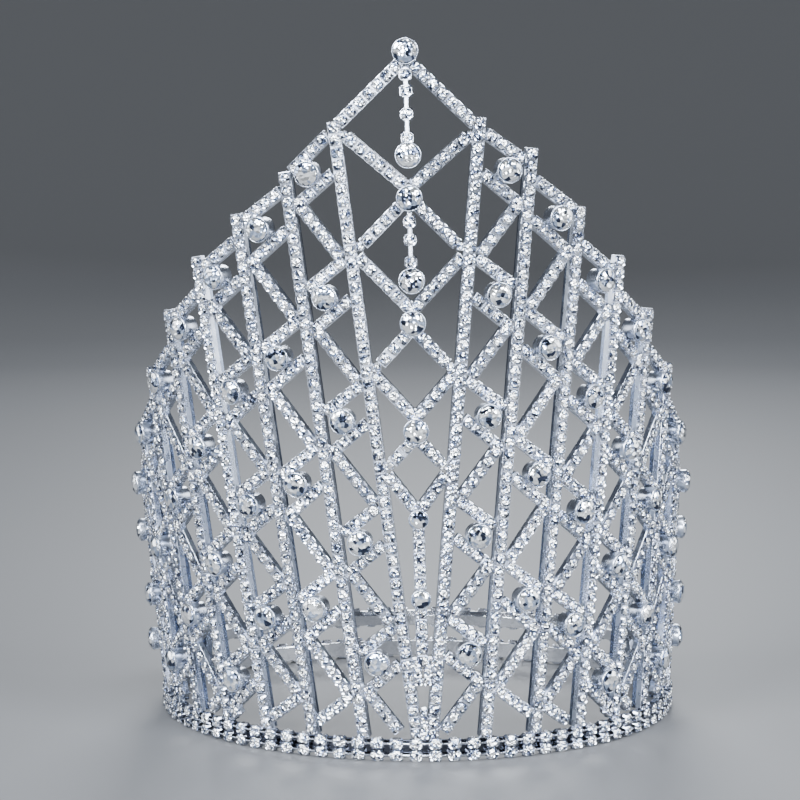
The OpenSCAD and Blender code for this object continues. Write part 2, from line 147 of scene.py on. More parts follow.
@dataclass(frozen=True)
class Wall:
    """The crown's wall: its reference line, its outward lean and its staves."""

    band_radius: float = 74 * MM
    back_depth: float = 57 * MM
    corner_radius: float = 48 * MM
    strip_thick: float = 1 * MM
    solder: float = 0.3 * MM
    unit_width: float = 3.7 * MM
    unit_height: float = 6.4 * MM
    unit_depth: float = 2.6 * MM
    unit_pitch: float = 5.05 * MM
    rail_z: float = 10.7 * MM
    apex_height: float = 190 * MM
    flare: float = 0.067
    lean: float = 0.032
    first_stave: float = 1.0
    stave_step: float = 11.1
    fan: float = 0.063 / MM
    first_fan: float = 0.0685 / MM
    chain_width: float = 3.3 * MM
    chain_depth: float = 2.6 * MM
    gap: float = 0.15 * MM
    stone_diameter: float = 6 * MM
    small_stone_diameter: float = 4.6 * MM
    cup_depth: float = 5 * MM
    small_cup_depth: float = 4 * MM
    drop_cup_depth: float = 3.6 * MM
    cup_wall: float = 0.3 * MM
    stone_play: float = 0.15 * MM
    crown_share: float = 0.32
    fall_out: float = 0.31
    return_out: float = 0.34
    stone_across: float = 0.53
    sweep_step: float = 2.5

    @cached_property
    def corner_x(self) -> float:
        """Return how far the corner arcs' centres stand from the middle."""
        return self.band_radius - self.corner_radius

    @cached_property
    def back_shift(self) -> float:
        """Return how far in front of the middle the back arc's centre lies."""
        rise = self.back_depth - self.corner_radius
        return (self.corner_x**2 - rise**2) / (2 * rise)

    @cached_property
    def corner_sweep(self) -> float:
        """Return the degrees that a corner arc turns through."""
        return 90 - math.degrees(math.atan2(self.corner_x, self.back_shift))

    @cached_property
    def back_radius(self) -> float:
        """Return the back arc's radius."""
        return self.back_depth + self.back_shift

    @cached_property
    def corner_end(self) -> float:
        """Return the angle along the line at which the corner arc ends."""
        return 90 + self.corner_sweep * self.corner_radius / self.band_radius

    @cached_property
    def half_angle(self) -> float:
        """Return the angle along the line of the middle of the back."""
        back = (90 - self.corner_sweep) * self.back_radius
        return 90 + (self.corner_sweep * self.corner_radius + back) / self.band_radius

    @cached_property
    def unit_count(self) -> int:
        """Return how many pairs of cups the band carries."""
        half = math.radians(self.half_angle) * self.band_radius
        return 2 * round(half / self.unit_pitch)

    @property
    def chain_in(self) -> float:
        """Return where the chain's back lies, outward from the reference line."""
        sink = (self.flare + self.lean) * self.unit_height
        return self.strip_thick - self.solder - sink - self.gap

    @property
    def side_cut(self) -> float:
        """Return how far from a stave's line a strip ends."""
        return self.chain_width / 2 + self.gap

    @property
    def cup_radius(self) -> float:
        """Return the outer radius of a large round cup's rim."""
        return self.stone_diameter / 2 + self.stone_play + self.cup_wall

    @property
    def small_cup_radius(self) -> float:
        """Return the outer radius of a small round cup's rim."""
        return self.small_stone_diameter / 2 + self.stone_play + self.cup_wall

    @property
    def pair_drop(self) -> float:
        """Return the height from a falling strip to the returning one below it."""
        return 2 * self.cup_radius + self.chain_width

    @cached_property
    def origin(self) -> Vector:
        """Find the point of the reference frame that lies under the box's centre.

        Returns:
            The point, which is taken off each place on the wall.
        """
        rise = self.cup_depth + self.crown_share * self.stone_diameter / 2
        reach = {}
        for side in Side:
            tips = [
                self.stone_place(side, k, z) + self.panel_axes(side, k, z).out * rise
                for k in self.columns(side)
                for z in self.stone_heights(side, k)
            ]
            reach[side] = max(side.value * tip.x for tip in tips)
        front = -(self.band_radius + self.chain_in + self.flare * self.apex_height + rise)
        back = self.back_depth + self.strip_thick + self.unit_depth - self.solder
        back += self.flare * self.rail_z
        return Vector(((reach[Side.RIGHT] - reach[Side.LEFT]) / 2, (front + back) / 2, 0))

    def turn(self, angle: float) -> float:
        """Return the way the wall faces, in degrees from the front.

        Args:
            angle: Degrees along the reference line, 0 to the middle of the back.

        Returns:
            The facing direction in degrees.
        """
        if angle <= 90:
            return angle
        if angle <= self.corner_end:
            return 90 + (angle - 90) * self.band_radius / self.corner_radius
        past = angle - self.corner_end
        return 90 + self.corner_sweep + past * self.band_radius / self.back_radius

    def arc(self, angle: float) -> tuple[float, float, float]:
        """Find the arc that the line follows at an angle.

        Args:
            angle: Degrees along the reference line, never negative.

        Returns:
            Its centre's x and y, and its radius.
        """
        if angle <= 90:
            return 0.0, 0.0, self.band_radius
        if angle <= self.corner_end:
            return self.corner_x, 0.0, self.corner_radius
        return 0.0, -self.back_shift, self.back_radius

    def point(self, angle: float, out: float, z: float) -> Vector:
        """Return a point of the wall before the frame is centred.

        Args:
            angle: Degrees along the reference line, negative on the left.
            out: Distance outward from the line.
            z: Height above the table.

        Returns:
            The point.
        """
        x, y, radius = self.arc(abs(angle))
        turn = math.radians(self.turn(abs(angle)))
        reach = radius + out + self.flare * z
        side = -1 if angle < 0 else 1
        return Vector((
            side * (x + reach * math.sin(turn)) - self.lean * z,
            y - reach * math.cos(turn),
            z,
        ))

    def facing(self, angle: float) -> Vector:
        """Work out the outward direction at an angle along the line.

        Args:
            angle: Degrees along the line, negative on the left.

        Returns:
            The direction, level.
        """
        turn = math.radians(self.turn(abs(angle)))
        side = -1 if angle < 0 else 1
        return Vector((side * math.sin(turn), -math.cos(turn), 0))

    def upright(self, angle: float, out: float, z: float) -> Matrix:
        """Stand a place upright on the wall.

        Args:
            angle: Degrees along the line, negative on the left.
            out: Distance outward from the line.
            z: Height above the table.

        Returns:
            The place, x along the wall and y outward.
        """
        front = self.facing(angle)
        axes = Axes(Vector((front.y, -front.x, 0)), front, Vector((0, 0, 1)))
        return axes.at(self.point(angle, out, z) - self.origin)

    def rows(self, side: Side) -> tuple[Row, ...]:
        """Return one side's staves, from the middle to the back."""
        return LEFT_WALL if side is Side.LEFT else RIGHT_WALL

    def columns(self, side: Side) -> range:
        """Return the numbers of one side's columns; the last stave has none behind it."""
        return range(1, len(self.rows(side)))

    def stave_tip(self, side: Side, k: int) -> float:
        """Return the height of a stave's tip; stave 0 is the gore's middle line."""
        return self.apex_height * (self.rows(side)[k - 1].tip if k else 1)

    def stave_angle(self, k: int, z: float) -> float:
        """Work out the angle at which a stave stands at a height.

        Args:
            k: The stave's number; 0 is the gore's middle line.
            z: Height above the table.

        Returns:
            The angle along the line.
        """
        if k == 0:
            return 0.0
        fan = self.first_fan if k == 1 else self.fan
        return self.first_stave + self.stave_step * (k - 1) + fan * z

    def stave_end(self, side: Side, k: int, z: float) -> Vector:
        """Return the point where a stave's line would cross a height on the wall."""
        return self.point(side.value * self.stave_angle(k, z), self.chain_in, z)

    def stave_way(self, side: Side, k: int) -> Vector:
        """Return the direction of a stave, upward."""
        tip = self.stave_end(side, k, self.stave_tip(side, k))
        return (tip - self.stave_end(side, k, 0)).normalized()

    def stave_at(self, side: Side, k: int, z: float) -> Vector:
        """Return the point of a stave's straight line at a height."""
        way = self.stave_way(side, k)
        return self.stave_end(side, k, 0) + way * (z / way.z)

    def stave_axes(self, side: Side, k: int) -> Axes:
        """Work out the axes on a stave.

        Args:
            side: The side that it is on.
            k: The stave's number.

        Returns:
            The axes across it, up it and outward.
        """
        up = self.stave_way(side, k)
        angle = self.stave_angle(k, self.stave_tip(side, k) / 2)
        along = up.cross(self.facing(side.value * angle)).normalized()
        return Axes(along, up, along.cross(up))

    def panel_axes(self, side: Side, k: int, z: float) -> Axes:
        """Work out the axes on the flat panel between two staves.

        Args:
            side: The side that it is on.
            k: The panel's inner stave.
            z: Height above the table.

        Returns:
            The axes along the panel, up it and outward.
        """
        across = self.stave_at(side, k + 1, z) - self.stave_at(side, k, z)
        along = (side.value * across).normalized()
        up = self.stave_way(side, k) + self.stave_way(side, k + 1)
        out = along.cross(up).normalized()
        return Axes(along, out.cross(along), out)

    def middle_axes(self) -> Axes:
        """Work out the axes on the gore's middle line.

        Returns:
            The axes across it, up it and outward.
        """
        up = self.stave_way(Side.RIGHT, 0)
        along = up.cross(Vector((0, -1, 0))).normalized()
        return Axes(along, up, along.cross(up))

    def middle_at(self, z: float) -> Vector:
        """Return the point of the gore's middle line at a height."""
        return self.stave_at(Side.RIGHT, 0, z)

    def drop_axes(self) -> Axes:
        """Work out the axes of a drop, which hangs without leaning outward.

        Returns:
            The axes across it, up it and towards the front.
        """
        up = Vector((-self.lean, 0, 1)).normalized()
        out = Vector((0, -1, 0))
        return Axes(up.cross(out), up, out)

    def starts(self, side: Side, k: int) -> list[float]:
        """Work out where each repeat of a column starts on its inner stave.

        Args:
            side: The side that it is on.
            k: The column's number.

        Returns:
            The heights, from the top down.
        """
        row = self.rows(side)[k - 1]
        room = (self.unit_height + self.chain_width) / self.apex_height
        count = math.floor((row.top_in - room) / row.repeat) + 1
        return [self.apex_height * (row.top_in - n * row.repeat) for n in range(count)]

    def fall(self, side: Side, k: int, n: int = 1) -> float:
        """Work out how far a falling strip drops; a column's first one has its own drop.

        Args:
            side: The side that it is on.
            k: The column's number.
            n: The repeat's number.

        Returns:
            The drop from the inner to the outer stave.
        """
        row = self.rows(side)[k - 1]
        share = self.fall_out * row.repeat if n else row.top_in - row.top_out
        return self.apex_height * share

    def stone_heights(self, side: Side, k: int) -> list[float]:
        """Work out the heights of a column's round stones.

        Args:
            side: The side that it is on.
            k: The column's number.

        Returns:
            The heights, from the top down.
        """
        repeat = self.rows(side)[k - 1].repeat * self.apex_height
        back = self.pair_drop + self.stone_across * self.return_out * repeat
        heights = [
            start - (self.stone_across * self.fall(side, k, n) + back) / 2
            for n, start in enumerate(self.starts(side, k))
        ]
        return [z for z in heights if z > self.unit_height + 2 * self.cup_radius]

    def stone_place(self, side: Side, k: int, z: float) -> Vector:
        """Return where a round stone's cup stands on its panel."""
        inner = self.stave_at(side, k, z) * (1 - self.stone_across)
        return inner + self.stave_at(side, k + 1, z) * self.stone_across


@dataclass(frozen=True)
class Run:
    """A straight stretch of chain on a panel, from one trimmed end to the other."""

    start: Vector
    end: Vector
    out: Vector

    @property
    def length(self) -> float:
        """Return the stretch's length."""
        return (self.end - self.start).length

    @property
    def axes(self) -> Axes:
        """Return the axes with up along the stretch."""
        up = (self.end - self.start).normalized()
        return Axes(up.cross(self.out), up, self.out)

    def trimmed(self, at_start: float, at_end: float = 0.0) -> "Run":
        """Return the stretch made shorter at its ends."""
        way = (self.end - self.start).normalized()
        return Run(self.start + way * at_start, self.end - way * at_end, self.out)


def panel_run(wall: Wall, side: Side, k: int, z_in: float, z_out: float, mid: float,
              more: tuple[float, float] = (0.0, 0.0)) -> Run:
    """Work out where a strip between two staves starts and ends.

    Args:
        wall: The crown's wall.
        side: The side that the panel is on.
        k: The panel's inner stave; 0 is the gore's middle line.
        z_in: Height at which the strip's line meets the inner stave.
        z_out: Height at which it meets the outer stave.
        mid: Height at which the panel's plane is taken.
        more: How much further than usual it ends from the inner and the outer stave.

    Returns:
        The strip's centre line, ended clear of both staves.
    """
    axes = wall.panel_axes(side, k, mid)
    base = wall.stave_at(side, k, mid)

    def on_panel(spot: Vector) -> Vector:
        """Return a point dropped onto the panel's plane."""
        away = spot - base
        return spot - axes.out * away.dot(axes.out)

    inner = on_panel(wall.stave_at(side, k, z_in))
    outer = on_panel(wall.stave_at(side, k + 1, z_out))
    way = (outer - inner).normalized()
    cuts = []
    for i, clear in enumerate((0.0 if k == 0 else wall.side_cut, wall.side_cut)):
        line = axes.flat(wall.stave_way(side, k + i))
        cuts.append((clear + more[i]) / line.cross(way).length)
    shift = wall.origin
    return Run(inner + way * cuts[0] - shift, outer - way * cuts[1] - shift, axes.out)


def ground_facet(bm: bmesh.types.BMesh, place: Vector, normal: Vector) -> None:
    """Grind a stone down to a plane and close the cut with one flat facet.

    Args:
        bm: The stone.
        place: A point of the plane.
        normal: The way that the facet faces.
    """
    geom = [*bm.verts, *bm.edges, *bm.faces]
    cut = bmesh.ops.bisect_plane(
        bm, geom=geom, dist=ON_CUT, plane_co=place, plane_no=normal, clear_outer=True
    )
    rim = [e for e in cut["geom_cut"] if isinstance(e, bmesh.types.BMEdge)]
    if rim:
        bmesh.ops.edgeloop_fill(bm, edges=[e for e in rim if e.is_boundary])


def saved(bm: bmesh.types.BMesh, name: str, scale: float = 1.0) -> bpy.types.Mesh:
    """Keep a finished shape as a mesh that copies are taken from.

    Args:
        bm: The shape, which is freed.
        name: The mesh's name.
        scale: Factor from the shape's own unit to metres.

    Returns:
        The mesh.
    """
    bmesh.ops.scale(bm, vec=(scale,) * 3, verts=bm.verts)
    mesh = bpy.data.meshes.new(name)
    bm.to_mesh(mesh)
    bm.free()
    return mesh


def turned(profile: list[tuple[float, float]], steps: int) -> bmesh.types.BMesh:
    """Turn a profile once round the upright axis.

    Args:
        profile: Its points as distance from the axis and height.
        steps: How many steps the turn takes.

    Returns:
        The turned shape, shaded smooth.
    """
    bm = bmesh.new()
    spots = [bm.verts.new((x, 0, z)) for x, z in profile]
    edges = [bm.edges.new(pair) for pair in zip(spots, spots[1:])]
    bmesh.ops.spin(
        bm, geom=[*spots, *edges], cent=(0, 0, 0), axis=(0, 0, 1), angle=2 * math.pi,
        steps=steps, use_merge=True,
    )
    bmesh.ops.remove_doubles(bm, verts=bm.verts, dist=MERGE)
    bmesh.ops.recalc_face_normals(bm, faces=bm.faces)
    for face in bm.faces:
        face.smooth = True
    return bm


def wire(tree: bpy.types.NodeTree,
         *joins: tuple[bpy.types.Node, str, bpy.types.Node, str | int]) -> None:
    """Link the sockets of a tree's nodes.

    Args:
        tree: The tree that the nodes are in.
        joins: From a node and its output to a node and its input.
    """
    for source, out, target, into in joins:
        tree.links.new(source.outputs[out], target.inputs[into])


@dataclass(frozen=True)
class StoneCut:
    """How a round stone is cut, as shares of its radius and tilts in degrees."""

    sides: int = 16
    mains: int = 8
    halves: int = 16
    table: float = 0.58
    crown: float = 0.32
    girdle: float = 0.12
    star_tilt: float = 16
    upper_tilt: float = 33
    pavilion_tilt: float = 43
    lower_tilt: float = 45
    star_reach: float = 1.01
    upper_reach: float = 0.995
    lower_reach: float = 0.998
    blank_depth: float = 3
    rich: bool = True

    def ring(self, bm: bmesh.types.BMesh, count: int, tilt: float, radius: float,
             z: float, phase: float = 0.0) -> None:
        """Grind one ring of equal facets.

        Args:
            bm: The stone.
            count: Facets in the ring.
            tilt: Degrees from the table's plane, negative below the girdle.
            radius: Distance from the axis of the point that each facet passes through.
            z: That point's height.
            phase: Turn of the ring, in steps.
        """
        for i in range(count):
            turn = 2 * math.pi * (i + phase) / count
            way = Vector((math.cos(turn), math.sin(turn), 0))
            steep = math.radians(abs(tilt))
            normal = way * math.sin(steep) + Vector((0, 0, math.copysign(math.cos(steep), tilt)))
            ground_facet(bm, way * radius + Vector((0, 0, z)), normal)

    def mesh(self, name: str, diameter: float) -> bpy.types.Mesh:
        """Cut the stone; its girdle's lower edge lies at z = 0.

        Args:
            name: The mesh's name.
            diameter: The stone's diameter in metres.

        Returns:
            The cut stone, its table facing +Z.
        """
        bm = bmesh.new()
        half_turn = Matrix.Rotation(math.pi / self.sides, 4, "Z")
        bmesh.ops.create_cone(
            bm, cap_ends=True, segments=self.sides, radius1=1, radius2=1,
            depth=self.blank_depth, matrix=half_turn,
        )
        main = math.degrees(math.atan2(self.crown - self.girdle, 1 - self.table))
        flat = math.cos(math.pi / self.sides)
        self.ring(bm, self.mains, -self.pavilion_tilt, flat, 0)
        if self.rich:
            self.ring(bm, self.halves, -self.lower_tilt, flat * self.lower_reach, 0, 0.5)
            upper = flat * self.upper_reach
            self.ring(bm, self.halves, self.upper_tilt, upper, self.girdle, 0.5)
        self.ring(bm, self.mains, main, 1, self.girdle)
        star = self.table * self.star_reach
        self.ring(bm, self.mains, self.star_tilt, star, self.crown, 0.5)
        ground_facet(bm, Vector((0, 0, self.crown)), Vector((0, 0, 1)))
        bmesh.ops.remove_doubles(bm, verts=bm.verts, dist=STONE_MERGE)
        bmesh.ops.recalc_face_normals(bm, faces=bm.faces)
        return saved(bm, name, diameter / 2)


@dataclass(frozen=True)
class SquareCup:
    """A square cup of the chain with four claws and a small cut stone, in millimetres."""

    width: float = 3.25
    length: float = 2.98
    floor: float = 0.5
    rim: float = 2.15
    wall: float = 0.18
    chamfer: float = 0.7
    well_taper: float = 0.6
    claw_width: float = 0.6
    claw_thick: float = 0.3
    claw_top: float = 2.5
    claw_foot_share: float = 0.55
    claw_lean: float = 26
    claw_reach: float = 1.06
    stone: float = 2.85
    top: float = 2.6

    def metal(self, name: str) -> bpy.types.Mesh:
        """Build the open cup with a claw folded in at each corner.

        Args:
            name: The mesh's name.

        Returns:
            The cup, its back at z = 0.
        """
        bm = bmesh.new()
        bmesh.ops.create_cube(bm, size=1)
        bmesh.ops.scale(bm, vec=(self.width, self.length, self.rim), verts=bm.verts)
        bmesh.ops.translate(bm, vec=(0, 0, self.rim / 2), verts=bm.verts)
        corners = [e for e in bm.edges if abs(e.verts[0].co.z - e.verts[1].co.z) > self.rim / 2]
        bmesh.ops.bevel(
            bm, geom=corners, offset=self.chamfer, affect="EDGES", segments=1,
            profile=0.5, material=-1,
        )
        top = max(bm.faces, key=lambda f: f.calc_center_median().z)
        bmesh.ops.inset_individual(bm, faces=[top], thickness=self.wall, use_even_offset=True)
        sunk = bmesh.ops.extrude_discrete_faces(bm, faces=[top])["faces"]
        well = {v for f in sunk for v in f.verts}
        bmesh.ops.translate(bm, vec=(0, 0, self.floor - self.rim), verts=list(well))
        narrow = (self.well_taper, self.well_taper, 1)
        bmesh.ops.scale(bm, vec=narrow, verts=list(well))
        for i in range(4):
            self.add_claw(bm, i)
        return saved(bm, name, MM)

    def add_claw(self, bm: bmesh.types.BMesh, corner: int) -> None:
        """Add the claw of one corner, leaning in over the stone's edge.

        Args:
            bm: The cup.
            corner: The corner's number, 0 to 3.
        """
        made = bmesh.ops.create_cube(bm, size=1)["verts"]
        low = self.rim * self.claw_foot_share
        bmesh.ops.scale(
            bm, vec=(self.claw_width, self.claw_thick, self.claw_top - low), verts=made
        )
        lean = Matrix.Rotation(math.radians(self.claw_lean), 4, "X")
        reach = (self.width + self.length) / 4 * self.claw_reach
        turn = Matrix.Rotation(math.radians(45 + 90 * corner), 4, "Z")
        place = Matrix.Translation((0, -reach, (low + self.claw_top) / 2))
        bmesh.ops.transform(bm, matrix=turn @ place @ lean.inverted(), verts=made)

    def crystal(self, name: str) -> bpy.types.Mesh:
        """Cut the cup's stone and set it at its height.

        Args:
            name: The mesh's name.

        Returns:
            The stone, in the cup's place.
        """
        cut = StoneCut(sides=8, table=0.56, crown=0.34, girdle=0.08, rich=False)
        mesh = cut.mesh(name, self.stone * MM)
        lift = self.top - cut.crown * self.stone / 2
        mesh.transform(Matrix.Translation((0, 0, lift * MM)))
        return mesh


@dataclass(frozen=True)
class RoundCup:
    """A deep round cup with a conical seat, in metres, and its brilliant."""

    stone: float
    depth: float
    play: float
    wall: float
    seat_floor: float = 0.6 * MM
    base_share: float = 0.8
    base_round: float = 0.06
    swell_in: float = 0.6
    swell_low: float = 0.82
    swell_high: float = 0.9
    lip_share: float = 0.35
    lip_fold: float = 0.4
    seat_in: float = 0.96
    seat_top: float = 0.84
    seat_narrow: float = 0.12
    segments: int = 32

    @property
    def rim(self) -> float:
        """Return the rim's outer radius."""
        return self.stone / 2 + self.play + self.wall

    def metal(self, name: str) -> bpy.types.Mesh:
        """Turn the cup's profile round its axis.

        Args:
            name: The mesh's name.

        Returns:
            The cup, its back at z = 0.
        """
        lip = self.wall * self.lip_share
        inner = self.rim - self.wall
        profile = [
            (0, 0),
            (self.rim * self.base_share, 0),
            (self.rim * (self.base_share + self.base_round), self.depth * self.base_round),
            (self.rim - lip * self.swell_in, self.depth * self.swell_low),
            (self.rim, self.depth * self.swell_high),
            (self.rim, self.depth - lip),
            (self.rim - lip, self.depth),
            (inner + lip * self.lip_fold, self.depth),
            (inner, self.depth - lip),
            (inner * self.seat_in, self.depth * self.seat_top),
            (inner * self.seat_narrow, self.seat_floor),
            (0, self.seat_floor),
        ]
        return saved(turned(profile, self.segments), name)

    def crystal(self, name: str) -> bpy.types.Mesh:
        """Cut the cup's brilliant and set it at the rim.

        Args:
            name: The mesh's name.

        Returns:
            The stone, in the cup's place.
        """
        mesh = StoneCut().mesh(name, self.stone)
        mesh.transform(Matrix.Translation((0, 0, self.depth)))
        return mesh


class Shape:
    """A piece's mesh, put together from copies of finished shapes."""

    def __init__(self) -> None:
        """Start with nothing."""
        self.bm = bmesh.new()

    def add(self, mesh: bpy.types.Mesh, place: Matrix) -> None:
        """Add a copy of a finished shape.

        Args:
            mesh: The shape.
            place: Where the copy goes.
        """
        copy = mesh.copy()
        copy.transform(place)
        self.bm.from_mesh(copy)
        bpy.data.meshes.remove(copy)

    def bar(self, size: tuple[float, float, float], place: Matrix,
            bevel: float = 0.12 * MM) -> None:
        """Add a straight bar with softened edges.

        Args:
            size: Its width, length and depth.
            place: The middle of the back of its lower end.
            bevel: Width of the softened edges.
        """
        bm = bmesh.new()
        bmesh.ops.create_cube(bm, size=1)
        bmesh.ops.translate(bm, vec=(0, 0.5, 0.5), verts=bm.verts)
        bmesh.ops.scale(bm, vec=size, verts=bm.verts)
        bmesh.ops.bevel(
            bm, geom=bm.edges[:], offset=bevel, affect="EDGES", segments=2,
            profile=0.5, material=-1,
        )
        mesh = saved(bm, "bar")
        self.add(mesh, place)
        bpy.data.meshes.remove(mesh)

    def piece(self, name: str, material: bpy.types.Material, slot: Slot,
              nodes: tuple[str, ...] = ()) -> bpy.types.Object:
        """Turn what was added into a piece that rides on the crown.

        Args:
            name: The piece's name.
            material: Its finish.
            slot: The record's slot that the finish belongs to; not used.
            nodes: The CAD nodes that it stands for.

        Returns:
            The piece.
        """
        mesh = bpy.data.meshes.new(name)
        self.bm.to_mesh(mesh)
        self.bm.free()
        mesh.materials.append(material)
        made = bpy.data.objects.new(name, mesh)
        bpy.context.scene.collection.objects.link(made)
        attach(made, BODY)
        if nodes:
            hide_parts(*nodes)
        log.info("%s: %d faces", name, len(mesh.polygons))
        return made


@dataclass(frozen=True)
class HandlingMarks:
    """Fine handling marks, which the metal finishes share."""

    patch_detail: float = 4
    patch_low: float = 0.35
    patch_high: float = 0.7
    grain_detail: float = 2
    grain_finer: float = 6

    def group(self) -> bpy.types.NodeTree:
        """Build the node group of the marks.

        Returns:
            A group with Scale, Low and High in, and Roughness and Height out.
        """
        tree = bpy.data.node_groups.new("handling_marks", "ShaderNodeTree")
        for name in ("Scale", "Low", "High"):
            tree.interface.new_socket(name, in_out="INPUT", socket_type="NodeSocketFloat")
        for name in ("Roughness", "Height"):
            tree.interface.new_socket(name, in_out="OUTPUT", socket_type="NodeSocketFloat")
        nodes = tree.nodes
        given, put = nodes.new("NodeGroupInput"), nodes.new("NodeGroupOutput")
        place = nodes.new("ShaderNodeTexCoord")
        patches = nodes.new("ShaderNodeTexNoise")
        patches.inputs["Detail"].default_value = self.patch_detail
        spread = nodes.new("ShaderNodeMapRange")
        spread.inputs["From Min"].default_value = self.patch_low
        spread.inputs["From Max"].default_value = self.patch_high
        grain = nodes.new("ShaderNodeTexNoise")
        grain.inputs["Detail"].default_value = self.grain_detail
        finer = nodes.new("ShaderNodeMath")
        finer.operation = "MULTIPLY"
        finer.inputs[1].default_value = self.grain_finer
        wire(
            tree,
            (place, "Object", patches, "Vector"), (place, "Object", grain, "Vector"),
            (given, "Scale", patches, "Scale"), (given, "Scale", finer, 0),
            (finer, "Value", grain, "Scale"), (patches, "Fac", spread, "Value"),
            (given, "Low", spread, "To Min"), (given, "High", spread, "To Max"),
            (spread, "Result", put, "Roughness"), (grain, "Fac", put, "Height"),
        )
        return tree


@dataclass(frozen=True)
class SilverFinish:
    """Bright plated metal with fine handling marks."""

    name: str
    colour: tuple[float, float, float] = (0.86, 0.88, 0.93)
    smooth: float = 0.08
    dull: float = 0.22
    marks: float = 260.0
    bump: float = 0.04
    bump_depth: float = 0.05 * MM
    shade: float = 0.86

    def material(self, wear: bpy.types.NodeTree) -> bpy.types.Material:
        """Make the finish's material.

        Args:
            wear: The group of handling marks.

        Returns:
            The material.
        """
        made = bpy.data.materials.new(self.name)
        made.use_nodes = True
        nodes = made.node_tree.nodes
        shader = nodes["Principled BSDF"]
        shader.inputs["Metallic"].default_value = 1
        group = nodes.new("ShaderNodeGroup")
        group.node_tree = wear
        group.inputs["Scale"].default_value = self.marks
        group.inputs["Low"].default_value = self.smooth
        group.inputs["High"].default_value = self.dull
        tone = nodes.new("ShaderNodeValToRGB")
        dark = tuple(c * self.shade for c in self.colour)
        tone.color_ramp.elements[0].color = (*dark, 1)
        tone.color_ramp.elements[1].color = (*self.colour, 1)
        bump = nodes.new("ShaderNodeBump")
        bump.inputs["Strength"].default_value = self.bump
        bump.inputs["Distance"].default_value = self.bump_depth
        wire(
            made.node_tree,
            (group, "Height", tone, "Fac"), (tone, "Color", shader, "Base Color"),
            (group, "Roughness", shader, "Roughness"), (group, "Height", bump, "Height"),
            (bump, "Normal", shader, "Normal"),
        )
        return made


@dataclass(frozen=True)
class FoiledPaintedSparkleFinish:
    """Cut glass with a foiled back, cells tilted facet by facet and painted sparkle in the cell
    tones.
    """

    name: str
    cells: float = 1450.0
    tilt: float = 0.34 * MM
    # Cell tones: near-black is painted dark reflection, blue-grey is painted dim reflection,
    # near-white is the foil
    dark: tuple[float, float, float] = (0.035, 0.045, 0.075)
    mid: tuple[float, float, float] = (0.42, 0.50, 0.66)
    bright: tuple[float, float, float] = (0.97, 0.985, 1.0)
    painted_dark_share: float = 0.21
    painted_dim_share: float = 0.46
    foil: float = 0.92
    rough: float = 0.04
    ior: float = 1.75

    def material(self) -> bpy.types.Material:
        """Make the finish's material.

        Returns:
            The material.
        """
        made = bpy.data.materials.new(self.name)
        made.use_nodes = True
        nodes = made.node_tree.nodes
        shader = nodes["Principled BSDF"]
        shader.inputs["Metallic"].default_value = self.foil
        shader.inputs["Roughness"].default_value = self.rough
        shader.inputs["IOR"].default_value = self.ior
        place = nodes.new("ShaderNodeTexCoord")
        # Voronoi cells that tilt the facets and paint the sparkle tones
        facets = nodes.new("ShaderNodeTexVoronoi")
        facets.inputs["Scale"].default_value = self.cells
        channel = nodes.new("ShaderNodeSeparateColor")
        # The ramp paints sparkle: each cell takes the painted dark, the painted dim or the foil's
        # near-white tone
        tone = nodes.new("ShaderNodeValToRGB")
        ramp = tone.color_ramp
        ramp.interpolation = "CONSTANT"
        ramp.elements[0].color = (*self.dark, 1)
        ramp.elements[1].position = self.painted_dark_share
        ramp.elements[1].color = (*self.mid, 1)
        ramp.elements.new(self.painted_dim_share).color = (*self.bright, 1)
        slant = nodes.new("ShaderNodeBump")
        slant.inputs["Distance"].default_value = self.tilt
        wire(
            made.node_tree,
            (place, "Object", facets, "Vector"), (facets, "Color", channel, "Color"),
            (channel, "Red", tone, "Fac"), (tone, "Color", shader, "Base Color"),
            (facets, "Distance", slant, "Height"), (slant, "Normal", shader, "Normal"),
        )
        return made


@dataclass
class Jeweller:
    """Sets cups and stones: the shared finishes and the shapes that copies are taken from."""

    wall: Wall
    silver: bpy.types.Material
    satin: bpy.types.Material
    # Silver darkened to paint shade on the spines behind the chain
    spine_painted_shade: bpy.types.Material
    mirror: bpy.types.Material
    # Both crystal finishes paint sparkle: their near-black and blue-grey cells are painted
    # reflections
    foiled: bpy.types.Material
    brilliant: bpy.types.Material
    shadow: bpy.types.Material
    square: SquareCup = field(default_factory=SquareCup)

    def __post_init__(self) -> None:
        """Build the shapes that copies are taken from."""
        wall = self.wall
        self.cup = self.square.metal("square_cup")
        self.stone = self.square.crystal("square_cup_stone")
        sizes = {
            RoundKind.LARGE: (wall.stone_diameter, wall.cup_depth),
            RoundKind.SMALL: (wall.small_stone_diameter, wall.small_cup_depth),
            RoundKind.DROP: (wall.stone_diameter, wall.drop_cup_depth),
        }
        cups = {k: RoundCup(*size, wall.stone_play, wall.cup_wall) for k, size in sizes.items()}
        self.round_metal = {k: cup.metal(f"round_cup_{k.value}") for k, cup in cups.items()}
        self.round_stone = {k: cup.crystal(f"brilliant_{k.value}") for k, cup in cups.items()}

    def set_round(self, metal: Shape, stones: Shape, place: Matrix,
                  kind: RoundKind = RoundKind.LARGE) -> None:
        """Set one round cup and its brilliant."""
        metal.add(self.round_metal[kind], place)
        stones.add(self.round_stone[kind], place)


